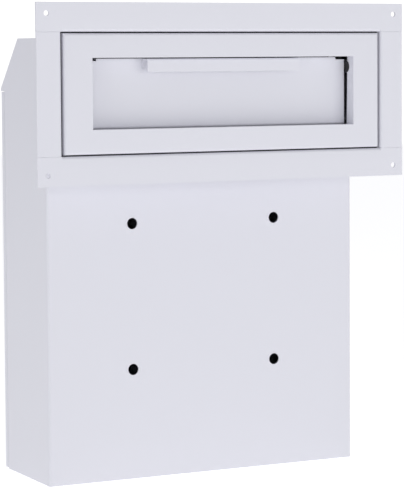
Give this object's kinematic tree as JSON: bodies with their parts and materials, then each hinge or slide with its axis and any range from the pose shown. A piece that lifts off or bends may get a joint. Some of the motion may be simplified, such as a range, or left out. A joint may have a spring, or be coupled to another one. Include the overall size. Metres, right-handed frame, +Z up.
{
  "type": "through-the-door drop box",
  "caption": "Sheet-steel drop box with a pull-down flap in a trimmed chute that passes through a door, and a lockable rear door.",
  "frame": {"origin": "middle of the base of the body, with the rear door shut", "axes": "+Z up, +Y from the outside of the door towards the inside of the room, +X to the right seen from outside"},
  "size_m": [0.3594, 0.1554, 0.4218],
  "materials": {
    "white_powder_coat": "satin white powder coat with a fine orange peel",
    "zinc_plated_steel": "bright zinc plate",
    "painted_hinge_steel": "white powder coat over welded hinge leaves",
    "bright_steel": "drawn steel rod",
    "spring_wire": "drawn spring wire",
    "chromed_zinc": "chrome plate",
    "black_rubber": "matt black rubber",
    "black_foam": "closed-cell foam strip"
  },
  "bodies": {
    "box": {"body_wrap": "white_powder_coat", "top_panel": "white_powder_coat", "bottom_pan": "white_powder_coat", "neck_floor": "white_powder_coat", "baffle": "white_powder_coat", "adjusting_nuts": "zinc_plated_steel", "adjusting_washers": "zinc_plated_steel", "adjusting_screws": "zinc_plated_steel", "door_hinge_body_leaves": "painted_hinge_steel", "door_hinge_pins": "bright_steel"},
    "front_unit": {"flange_top_rail": "white_powder_coat", "flange_bottom_rail": "white_powder_coat", "flange_left_strip": "white_powder_coat", "flange_right_strip": "white_powder_coat", "sleeve_rivets": "zinc_plated_steel", "weather_seal": "black_rubber", "front_frame": "white_powder_coat", "closing_stop": "white_powder_coat", "closing_pad": "black_foam", "hinge_brackets": "zinc_plated_steel", "flap_rod": "bright_steel", "rod_clips": "zinc_plated_steel", "side_buffers": "black_rubber"},
    "flap_unit": {"flap": "white_powder_coat", "pull_handle": "white_powder_coat", "handle_rivets": "zinc_plated_steel", "flap_spring": "spring_wire"},
    "door_unit": {"rear_door": "white_powder_coat", "door_hinge_door_leaves": "painted_hinge_steel", "lock_barrel": "chromed_zinc", "lock_nut": "zinc_plated_steel"},
    "lock_core": {"lock_plug": "chromed_zinc", "lock_cam": "zinc_plated_steel", "cam_screw": "zinc_plated_steel"}
  },
  "joints": [
    {"name": "front_slide", "type": "slide", "parent": "box", "child": "front_unit", "axis": [0, 1, 0], "range_m": [0, 0.0095]},
    {"name": "flap_hinge", "type": "hinge", "parent": "front_unit", "child": "flap_unit", "pos_m": [0, -0.0792, 0.318], "axis": [1, 0, 0], "range_deg": [0, 50], "stiffness_Nm_per_rad": 0.06, "springref_deg": -57.3},
    {"name": "rear_door_hinge", "type": "hinge", "parent": "box", "child": "door_unit", "pos_m": [0.1557, 0.045, 0.1728], "axis": [0, 0, -1], "range_deg": [0, 110]},
    {"name": "lock_turn", "type": "hinge", "parent": "door_unit", "child": "lock_core", "pos_m": [-0.1245, 0.0398, 0.1721], "axis": [0, 1, 0], "range_deg": [0, 90]}
  ]
}
